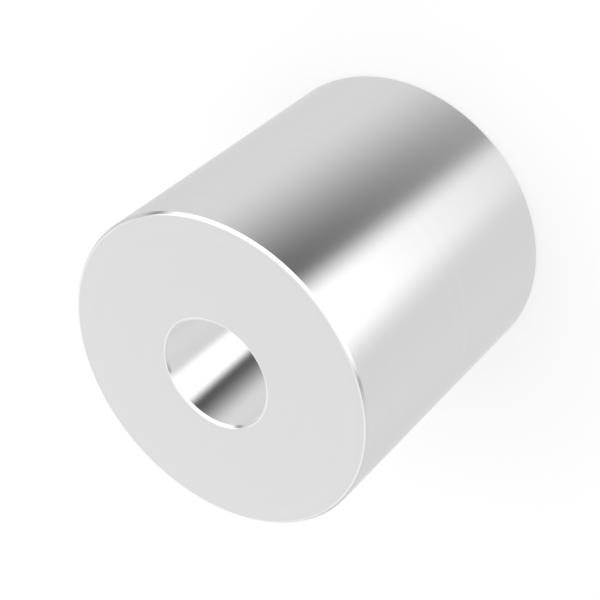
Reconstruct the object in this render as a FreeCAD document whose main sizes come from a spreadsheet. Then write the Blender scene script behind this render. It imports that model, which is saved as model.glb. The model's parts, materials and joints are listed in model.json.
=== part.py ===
import FreeCAD, Part
import math
import os
import Sketcher

# Spacer sleeve: a plain round sleeve, turned in one piece from bar, with a clearance bore for a screw.
# It stands on one of its two faced ends: Z is the axis of the bore, and the lower end lies at z = 0.

# Driving dimensions in millimetres
DIMENSIONS = {
    "outer_diameter": 25.0,
    "bore_diameter": 8.5,
    "sleeve_length": 25.0,
    # Leg of the 45 degree chamfer round the outer edge of each end
    "rim_chamfer": 0.2,
    # Leg of the 45 degree chamfer round each mouth of the bore
    "bore_chamfer": 0.2,
}

doc = FreeCAD.newDocument("spacer_sleeve")


def write_sheet(dimensions):
    """Put each driving dimension in a cell of its own, with its name as the alias."""
    sheet = doc.addObject("Spreadsheet::Sheet", "Dimensions")
    for row, (name, value) in enumerate(dimensions.items(), start=1):
        sheet.set(f"A{row}", name)
        sheet.set(f"B{row}", str(value))
        sheet.setAlias(f"B{row}", name)
    doc.recompute()
    return sheet


def origin_plane(body, role):
    """The plane of the body's own origin that has this role."""
    return next(plane for plane in body.Origin.OriginFeatures if plane.Role == role)


def add_circle(sketch, alias):
    """Draw a circle about the axis, with its diameter bound to a cell of the sheet."""
    radius = sheet.get(alias) / 2
    circle = sketch.addGeometry(Part.Circle(FreeCAD.Vector(), FreeCAD.Vector(0, 0, 1), radius))
    # Point 3 of a circle is its centre, and point 1 of geometry -1 is the sketch's origin
    sketch.addConstraint(Sketcher.Constraint("Coincident", circle, 3, -1, 1))
    diameter = sketch.addConstraint(Sketcher.Constraint("Diameter", circle, 2 * radius))
    sketch.renameConstraint(diameter, alias)
    sketch.setExpression(f"Constraints.{alias}", f"Dimensions.{alias}")


def round_edges(shape, diameter):
    """Names of the shape's circular edges of this diameter: one at each end of the sleeve."""
    return [
        f"Edge{number}"
        for number, edge in enumerate(shape.Edges, start=1)
        if isinstance(edge.Curve, Part.Circle) and math.isclose(2 * edge.Curve.Radius, diameter)
    ]


def add_chamfer(body, name, diameter, leg):
    """Chamfer the edges of one diameter at both ends. Both arguments are aliases of the sheet."""
    base = body.Tip
    chamfer = body.newObject("PartDesign::Chamfer", name)
    chamfer.Base = (base, round_edges(base.Shape, sheet.get(diameter)))
    chamfer.setExpression("Size", f"Dimensions.{leg}")
    doc.recompute()


sheet = write_sheet(DIMENSIONS)

# The bar, drilled through and parted off at its length
sleeve = doc.addObject("PartDesign::Body", "spacer_sleeve")
end_face = sleeve.newObject("Sketcher::SketchObject", "end_face")
end_face.AttachmentSupport = (origin_plane(sleeve, "XY_Plane"), "")
end_face.MapMode = "FlatFace"
add_circle(end_face, "outer_diameter")
add_circle(end_face, "bore_diameter")
drilled_bar = sleeve.newObject("PartDesign::Pad", "drilled_bar")
drilled_bar.Profile = end_face
drilled_bar.setExpression("Length", "Dimensions.sleeve_length")
doc.recompute()

# Both ends chamfered, outside and in the mouths of the bore
add_chamfer(sleeve, "rim_chamfers", "outer_diameter", "rim_chamfer")
add_chamfer(sleeve, "bore_chamfers", "bore_diameter", "bore_chamfer")
sleeve.Placement = FreeCAD.Placement()
doc.recompute()

for item in doc.Objects:
    if "Invalid" in item.State or "Error" in item.State:
        raise RuntimeError(f"{item.Label} failed: {item.State}")
if sleeve.Shape.isNull() or not sleeve.Shape.isValid() or len(sleeve.Shape.Solids) != 1:
    raise RuntimeError(f"{sleeve.Label} isn't one valid solid")

os.makedirs("parts", exist_ok=True)
sleeve.Shape.exportStep(f"parts/{sleeve.Label}.step")
print(f"{sleeve.Label}: {sleeve.Shape.Volume:.1f} mm3, {len(sleeve.Shape.Faces)} faces")
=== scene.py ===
import json
from math import isclose, radians, sin

import bpy
from mathutils import Matrix, Vector


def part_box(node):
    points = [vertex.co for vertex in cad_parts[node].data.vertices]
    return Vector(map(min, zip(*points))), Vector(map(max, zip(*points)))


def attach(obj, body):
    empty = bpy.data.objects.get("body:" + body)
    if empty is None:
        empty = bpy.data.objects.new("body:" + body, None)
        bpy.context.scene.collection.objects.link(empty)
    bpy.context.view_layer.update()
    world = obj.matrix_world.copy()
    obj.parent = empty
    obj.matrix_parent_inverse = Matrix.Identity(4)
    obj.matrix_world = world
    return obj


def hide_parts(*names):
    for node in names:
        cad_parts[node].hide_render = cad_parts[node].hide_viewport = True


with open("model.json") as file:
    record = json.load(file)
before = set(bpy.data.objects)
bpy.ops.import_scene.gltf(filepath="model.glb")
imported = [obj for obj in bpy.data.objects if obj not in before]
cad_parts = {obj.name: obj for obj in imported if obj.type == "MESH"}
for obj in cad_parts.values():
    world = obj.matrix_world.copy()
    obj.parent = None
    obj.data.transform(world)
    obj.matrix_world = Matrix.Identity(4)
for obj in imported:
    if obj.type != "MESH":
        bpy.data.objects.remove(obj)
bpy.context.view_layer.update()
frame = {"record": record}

# The sleeve: a short length of bright stainless bar, turned in one piece. Both ends are faced square,
# the bore is drilled and reamed through, and a fine 45 degree chamfer breaks each of its four rims.
BAR_SEGMENTS = 320
RIM_CHAMFER = 0.0002
# Polishing the ends rounds the edge between each end face and its chamfers
POLISHED_WIDTH = 0.00009
POLISHED_STEPS = 5
# The chamfers' other edges keep no more than the last trace of rounding that deburring leaves
DEBURRED_WIDTH = 0.000015
DEBURRED_STEPS = 2
DEBURRED_ANGLE = radians(30)
SAME_PLACE = 0.000001
SAME_SLOPE = 0.001
# How far a turned face's normal rises: level on the side, 45 degrees on a chamfer, upright on an end face
TRUE_RISES = (0, sin(radians(45)), 1)
END_FACE_RISE = 0.9
QUAD_CORNERS = 4
MM_PER_METRE = 1000

low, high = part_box("spacer_sleeve")
length = high.z - low.z
outer_radius = high.x
bore_mount = next(mount for mount in frame["record"]["mounts"] if mount["name"] == "bore")
bore_radius = bore_mount["dims"]["r_mm"] / MM_PER_METRE
# The bore's true wall ends at its two chamfers
bore_chamfer = (length - bore_mount["dims"]["length_mm"] / MM_PER_METRE) / 2

bpy.ops.object.select_all(action="DESELECT")
bpy.ops.mesh.primitive_cylinder_add(
    vertices=BAR_SEGMENTS, radius=outer_radius, depth=length, location=(0, 0, length / 2)
)
sleeve = bpy.context.object
sleeve.name = "turned_sleeve"
sleeve.data.name = "turned_sleeve"
bpy.ops.object.transform_apply(location=True, rotation=True, scale=True)


def select(kind, wanted):
    """In edit mode, select only the edges or the faces that the test wants."""
    bpy.ops.mesh.select_mode(type=kind)
    bpy.ops.mesh.select_all(action="DESELECT")
    bpy.ops.object.mode_set(mode="OBJECT")
    mesh = bpy.context.object.data
    for item in {"EDGE": mesh.edges, "FACE": mesh.polygons}[kind]:
        item.select = wanted(item)
    bpy.ops.object.mode_set(mode="EDIT")


def rim_at(radius):
    """A test for the edges that run round both ends at this radius."""
    corners = sleeve.data.vertices

    def on_rim(edge):
        ends = [corners[index].co for index in edge.vertices]
        level = abs(ends[0].z - ends[1].z) < SAME_PLACE
        return level and all(abs(end.xy.length - radius) < SAME_PLACE for end in ends)

    return on_rim


# The bore: each end face is inset to the bore's radius, and the two discs are bridged through the bar
bpy.ops.object.mode_set(mode="EDIT")
select("FACE", lambda face: abs(face.normal.z) > END_FACE_RISE)
bpy.ops.mesh.inset(thickness=outer_radius - bore_radius)
select("FACE", lambda face: len(face.vertices) > QUAD_CORNERS)
bpy.ops.mesh.bridge_edge_loops()
# The chamfers, outside and in the mouths of the bore, and the polished edges between them and the end faces
select("EDGE", rim_at(outer_radius))
bpy.ops.mesh.bevel(offset_type="OFFSET", offset=RIM_CHAMFER, segments=1)
select("EDGE", rim_at(bore_radius))
bpy.ops.mesh.bevel(offset_type="OFFSET", offset=bore_chamfer, segments=1)
for face_edge in (outer_radius - RIM_CHAMFER, bore_radius + bore_chamfer):
    select("EDGE", rim_at(face_edge))
    bpy.ops.mesh.bevel(offset_type="OFFSET", offset=POLISHED_WIDTH, segments=POLISHED_STEPS)
bpy.ops.mesh.select_all(action="SELECT")
bpy.ops.mesh.normals_make_consistent(inside=False)
bpy.ops.object.mode_set(mode="OBJECT")

deburr = sleeve.modifiers.new("deburr", "BEVEL")
deburr.width = DEBURRED_WIDTH
deburr.segments = DEBURRED_STEPS
deburr.limit_method = "ANGLE"
deburr.angle_limit = DEBURRED_ANGLE
bpy.ops.object.modifier_apply(modifier=deburr.name)
bpy.ops.object.shade_smooth()


def is_true(face):
    """Whether a face lies on the side, the bore, a chamfer or an end face, and not on a rounded edge."""
    return any(isclose(abs(face.normal.z), rise, abs_tol=SAME_SLOPE) for rise in TRUE_RISES)


# The turned faces shade true right up to the rounded edges between them
bpy.ops.object.mode_set(mode="EDIT")
select("FACE", is_true)
bpy.ops.mesh.set_normals_from_faces()
bpy.ops.object.mode_set(mode="OBJECT")

# Bright turned stainless steel: a smooth neutral grey metal. The lathe's feed marks run round the side
# and the bore, and in rings on the faced ends, too fine to see from a step away.
STEEL_DARK = (0.732, 0.732, 0.74, 1)
STEEL_BRIGHT = (0.748, 0.748, 0.756, 1)
STEEL_EDGE_TINT = (0.86, 0.86, 0.86, 1)
STEEL_ROUGHNESS = (0.13, 0.15)
# Marks to a metre, across the feed
FINE_MARKS = 9000
BROAD_MARKS = 1200
MARK_DEPTH = 0.0000001
# The colour sockets of a Mix node, which has others of the same names
COLOUR_A, COLOUR_B, COLOUR_RESULT = 6, 7, 2

steel = bpy.data.materials.new("turned_steel")
steel.use_nodes = True
nodes, links = steel.node_tree.nodes, steel.node_tree.links
shader = nodes["Principled BSDF"]
shader.inputs["Metallic"].default_value = 1
shader.inputs["Specular Tint"].default_value = STEEL_EDGE_TINT


def maths(operation, *terms):
    """A Math node in the current node tree, on the given numbers and sockets. Returns its output."""
    step = nodes.new("ShaderNodeMath")
    step.operation = operation
    for socket, term in zip(step.inputs, terms):
        if isinstance(term, (int, float)):
            socket.default_value = term
        else:
            links.new(term, socket)
    return step.outputs[0]


def marks_across(place, density):
    """Uneven parallel marks, so many to a metre, from 0 to 1."""
    marks = nodes.new("ShaderNodeTexNoise")
    marks.noise_dimensions = "1D"
    links.new(place, marks.inputs["W"])
    marks.inputs["Scale"].default_value = density
    return marks.outputs["Fac"]


coordinates = nodes.new("ShaderNodeTexCoord")
place = nodes.new("ShaderNodeSeparateXYZ")
links.new(coordinates.outputs["Object"], place.inputs[0])
facing = nodes.new("ShaderNodeSeparateXYZ")
links.new(coordinates.outputs["Normal"], facing.inputs[0])
x, y, z = place.outputs
from_axis = maths("SQRT", maths("ADD", maths("MULTIPLY", x, x), maths("MULTIPLY", y, y)))
on_end_face = maths("GREATER_THAN", maths("ABSOLUTE", facing.outputs["Z"]), END_FACE_RISE)
across_feed = nodes.new("ShaderNodeMix")
links.new(on_end_face, across_feed.inputs["Factor"])
links.new(z, across_feed.inputs["A"])
links.new(from_axis, across_feed.inputs["B"])
fine_marks = marks_across(across_feed.outputs["Result"], FINE_MARKS)
broad_marks = marks_across(across_feed.outputs["Result"], BROAD_MARKS)

colour = nodes.new("ShaderNodeMix")
colour.data_type = "RGBA"
links.new(broad_marks, colour.inputs["Factor"])
colour.inputs[COLOUR_A].default_value = STEEL_DARK
colour.inputs[COLOUR_B].default_value = STEEL_BRIGHT
links.new(colour.outputs[COLOUR_RESULT], shader.inputs["Base Color"])
smoothness = nodes.new("ShaderNodeMapRange")
links.new(fine_marks, smoothness.inputs["Value"])
smoothness.inputs["To Min"].default_value, smoothness.inputs["To Max"].default_value = STEEL_ROUGHNESS
links.new(smoothness.outputs[0], shader.inputs["Roughness"])
grooves = nodes.new("ShaderNodeBump")
grooves.inputs["Distance"].default_value = MARK_DEPTH
links.new(fine_marks, grooves.inputs["Height"])
links.new(grooves.outputs[0], shader.inputs["Normal"])

sleeve.data.materials.clear()
sleeve.data.materials.append(steel)
sleeve.visible_glossy = False
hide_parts("spacer_sleeve")
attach(sleeve, "root")

# The floor: a plain white sheet that the sleeve stands on and casts its soft shadow on.
# The metal mirrors the studio all round it and not this sheet, as in the photograph.
FLOOR_RADIUS = 1.5
FLOOR_SIDES = 96
FLOOR_COLOUR = (0.88, 0.88, 0.88, 1)
# The share of plain white in what the camera sees of the sheet; the rest is its lit colour
FLOOR_OWN_WHITE = 0.55

bpy.ops.mesh.primitive_circle_add(vertices=FLOOR_SIDES, radius=FLOOR_RADIUS, fill_type="NGON")
floor = bpy.context.object
floor.name = "floor"
floor.visible_glossy = False

paper = bpy.data.materials.new("white_sheet")
paper.use_nodes = True
nodes, links = paper.node_tree.nodes, paper.node_tree.links
nodes.clear()
output = nodes.new("ShaderNodeOutputMaterial")
lit = nodes.new("ShaderNodeBsdfDiffuse")
lit.inputs["Color"].default_value = FLOOR_COLOUR
white = nodes.new("ShaderNodeEmission")
path = nodes.new("ShaderNodeLightPath")
seen = nodes.new("ShaderNodeMath")
seen.operation = "MULTIPLY"
seen.inputs[1].default_value = FLOOR_OWN_WHITE
mix = nodes.new("ShaderNodeMixShader")
links.new(path.outputs["Is Camera Ray"], seen.inputs[0])
links.new(seen.outputs[0], mix.inputs["Fac"])
links.new(lit.outputs[0], mix.inputs[1])
links.new(white.outputs[0], mix.inputs[2])
links.new(mix.outputs[0], output.inputs["Surface"])
floor.data.materials.append(paper)

# The studio: pale walls, a round reflector overhead and behind, which the end face mirrors, and in front
# a tall softbox with a dark flag beside its slanting right edge, which make the streaks along the metal.
# Levels are parts of white. Directions are in degrees: azimuth 0 is towards the camera and grows to +X.
# Where an edge has two values, the light changes smoothly from the first to the second.
WALL_LEVEL = 0.889
# The reflector is less bright towards its middle. Its edges are cosines of the angle from its axis
REFLECTOR_AXIS = Vector((0, 0.616, 0.788))
REFLECTOR_LEVEL = 1.18
REFLECTOR_MIDDLE = 0.978
REFLECTOR_RIM = (0.52, 0.62)
REFLECTOR_DIMS = (0.85, 1)
# The walls are a little paler low down on both sides, and more so low down behind
SIDE_WALL_GAIN = 0.05
SIDE_WALL_STARTS = (60, 115)
SIDE_WALL_ENDS = (165, 134)
SIDE_WALL_TOP = (-10, -35)
BACK_AXIS = Vector((0.1, 0.956, -0.276))
BACK_SPREAD = (0.7, 0.9)
BACK_RISES = (-6, -16)
BACK_GAINS = (0.12, 0.3)
BACK_BOTTOM = (-38, -31)
SOFTBOX_GAIN = 0.674
SOFTBOX_BOTTOM = (-57.2, -41.5)
SOFTBOX_TOP = (75, 58)
SOFTBOX_LEFT = (-60.7, -35)
SOFTBOX_RIGHT = (-2.4, 20.6)
# The softbox's slanting edges bend at these two elevations
BEND = -40
HIGH_BEND = 24
RIGHT_SLANT = 1.53
RIGHT_SLANT_BELOW = 0.88
RIGHT_SLANT_ABOVE = 0.8
LEFT_SLANT_BELOW = 0.92
LEFT_SLANT_ABOVE = 0.17
FLAG_DEPTH = 0.805
FLAG_BOTTOM = (-68.6, -38.1)
FLAG_TOP = (12, -20)
FLAG_FADES = (92.5, 20.6)
# A dimmer gap between the softbox's upper and lower half, closed at its right end, and a post below it
GAP_DEPTH = 0.56
GAP_BOTTOM = (-2, 6)
GAP_TOP = (36, 26)
GAP_RIGHT = (75, 50)
POST_BOTTOM = (-34, -26)
POST_SIDE = (34, 22)
# Thin dark edging beside the upper half, on both sides
RIGHT_EDGING_DEPTH = 0.57
RIGHT_EDGING_BOTTOM = (4, 14)
RIGHT_EDGING_TOP = (48, 26)
RIGHT_EDGING_FADES = (42, 18)
LEFT_EDGING_DEPTH = 0.46
LEFT_EDGING_BOTTOM = (26, 36)
LEFT_EDGING_TOP = (60, 50)
LEFT_EDGING_STARTS = (-86, -54)
LEFT_EDGING_ENDS = (-55, -59.5)

world = bpy.data.worlds.new("studio")
bpy.context.scene.world = world
world.use_nodes = True
nodes, links = world.node_tree.nodes, world.node_tree.links


def product(*terms):
    """The product of several sockets and numbers."""
    result = terms[0]
    for term in terms[1:]:
        result = maths("MULTIPLY", result, term)
    return result


def soft_step(value, edge, first=0, last=1):
    """A smooth change from the first level to the last one, as the value goes along the edge's width."""
    ramp = nodes.new("ShaderNodeMapRange")
    ramp.interpolation_type = "SMOOTHSTEP"
    links.new(value, ramp.inputs["Value"])
    ramp.inputs["From Min"].default_value, ramp.inputs["From Max"].default_value = edge
    ramp.inputs["To Min"].default_value = first
    ramp.inputs["To Max"].default_value = last
    return ramp.outputs[0]


def near_to(axis):
    """The cosine of the angle between the direction and an axis: 1 on the axis itself."""
    cosine = nodes.new("ShaderNodeVectorMath")
    cosine.operation = "DOT_PRODUCT"
    links.new(direction, cosine.inputs[0])
    cosine.inputs[1].default_value = axis
    return cosine.outputs["Value"]


direction = nodes.new("ShaderNodeTexCoord").outputs["Generated"]
parts = nodes.new("ShaderNodeSeparateXYZ")
links.new(direction, parts.inputs[0])
azimuth = maths("DEGREES", maths("ARCTAN2", parts.outputs["X"], maths("MULTIPLY", parts.outputs["Y"], -1)))
elevation = maths("DEGREES", maths("ARCSINE", parts.outputs["Z"]))
below_bend = maths("MINIMUM", maths("SUBTRACT", elevation, BEND), 0)
between_bends = maths("MINIMUM", maths("MAXIMUM", maths("SUBTRACT", elevation, BEND), 0), HIGH_BEND - BEND)
above_bends = maths("MAXIMUM", maths("SUBTRACT", elevation, HIGH_BEND), 0)
from_right = azimuth
from_left = azimuth
for rise, right_slant, left_slant in (
    (below_bend, RIGHT_SLANT_BELOW, LEFT_SLANT_BELOW),
    (between_bends, RIGHT_SLANT, 0),
    (above_bends, RIGHT_SLANT_ABOVE, LEFT_SLANT_ABOVE),
):
    from_right = maths("SUBTRACT", from_right, maths("MULTIPLY", rise, right_slant))
    from_left = maths("ADD", from_left, maths("MULTIPLY", rise, left_slant))

reflector = soft_step(near_to(REFLECTOR_AXIS), REFLECTOR_RIM, 0, REFLECTOR_LEVEL - WALL_LEVEL)
dimmer_middle = soft_step(near_to(REFLECTOR_AXIS), REFLECTOR_DIMS, 0, REFLECTOR_LEVEL - REFLECTOR_MIDDLE)
back_wall = product(
    soft_step(near_to(BACK_AXIS), BACK_SPREAD),
    soft_step(elevation, BACK_BOTTOM),
    soft_step(elevation, BACK_RISES, *BACK_GAINS),
)
side_walls = product(
    soft_step(maths("ABSOLUTE", azimuth), SIDE_WALL_STARTS),
    soft_step(maths("ABSOLUTE", azimuth), SIDE_WALL_ENDS),
    soft_step(elevation, SIDE_WALL_TOP),
    SIDE_WALL_GAIN,
)
inside_left = soft_step(from_left, SOFTBOX_LEFT)
outside_right = soft_step(from_right, SOFTBOX_RIGHT)
softbox = product(
    inside_left,
    maths("SUBTRACT", 1, outside_right),
    soft_step(elevation, SOFTBOX_BOTTOM),
    soft_step(elevation, SOFTBOX_TOP),
    SOFTBOX_GAIN,
)
gap = product(soft_step(azimuth, GAP_RIGHT), soft_step(elevation, GAP_BOTTOM))
post = product(soft_step(maths("ABSOLUTE", azimuth), POST_SIDE), soft_step(elevation, POST_BOTTOM))
gap_and_post = product(
    maths("MAXIMUM", gap, post),
    inside_left,
    soft_step(elevation, GAP_TOP),
    GAP_DEPTH,
)
flag = product(
    outside_right,
    soft_step(from_right, FLAG_FADES),
    soft_step(elevation, FLAG_BOTTOM),
    soft_step(elevation, FLAG_TOP),
    FLAG_DEPTH,
)
right_edging = product(
    outside_right,
    soft_step(from_right, RIGHT_EDGING_FADES),
    soft_step(elevation, RIGHT_EDGING_BOTTOM),
    soft_step(elevation, RIGHT_EDGING_TOP),
    RIGHT_EDGING_DEPTH,
)
left_edging = product(
    soft_step(from_left, LEFT_EDGING_STARTS),
    soft_step(from_left, LEFT_EDGING_ENDS),
    soft_step(elevation, LEFT_EDGING_BOTTOM),
    soft_step(elevation, LEFT_EDGING_TOP),
    LEFT_EDGING_DEPTH,
)
level = maths("ADD", reflector, WALL_LEVEL)
for light in (back_wall, side_walls, softbox):
    level = maths("ADD", level, light)
for shade in (dimmer_middle, gap_and_post, flag, right_edging, left_edging):
    level = maths("SUBTRACT", level, shade)
links.new(level, nodes["Background"].inputs["Strength"])
nodes["Background"].inputs["Color"].default_value = (1, 1, 1, 1)

# The camera: above the sleeve and rolled over, so that the sleeve's axis runs down to the lower left
VIEW_ELEVATION = radians(43.937)
VIEW_ROLL = radians(-129.97)
VIEW_DISTANCE = 0.12013
VIEW_CENTRE = Vector((0.00015, 0.00079, 0.01325))
VIEW_LENS = 95.636
VIEW_SENSOR = 36
VIEW_CLIP = (0.001, 10)

camera = bpy.data.objects.new("camera", bpy.data.cameras.new("camera"))
bpy.context.scene.collection.objects.link(camera)
camera.data.lens = VIEW_LENS
camera.data.sensor_width = VIEW_SENSOR
camera.data.clip_start, camera.data.clip_end = VIEW_CLIP
turn = Matrix.Rotation(radians(90) - VIEW_ELEVATION, 4, "X") @ Matrix.Rotation(VIEW_ROLL, 4, "Z")
camera.matrix_world = Matrix.Translation(VIEW_CENTRE) @ turn @ Matrix.Translation((0, 0, VIEW_DISTANCE))
bpy.context.scene.camera = camera

bpy.context.scene.view_settings.view_transform = "Standard"
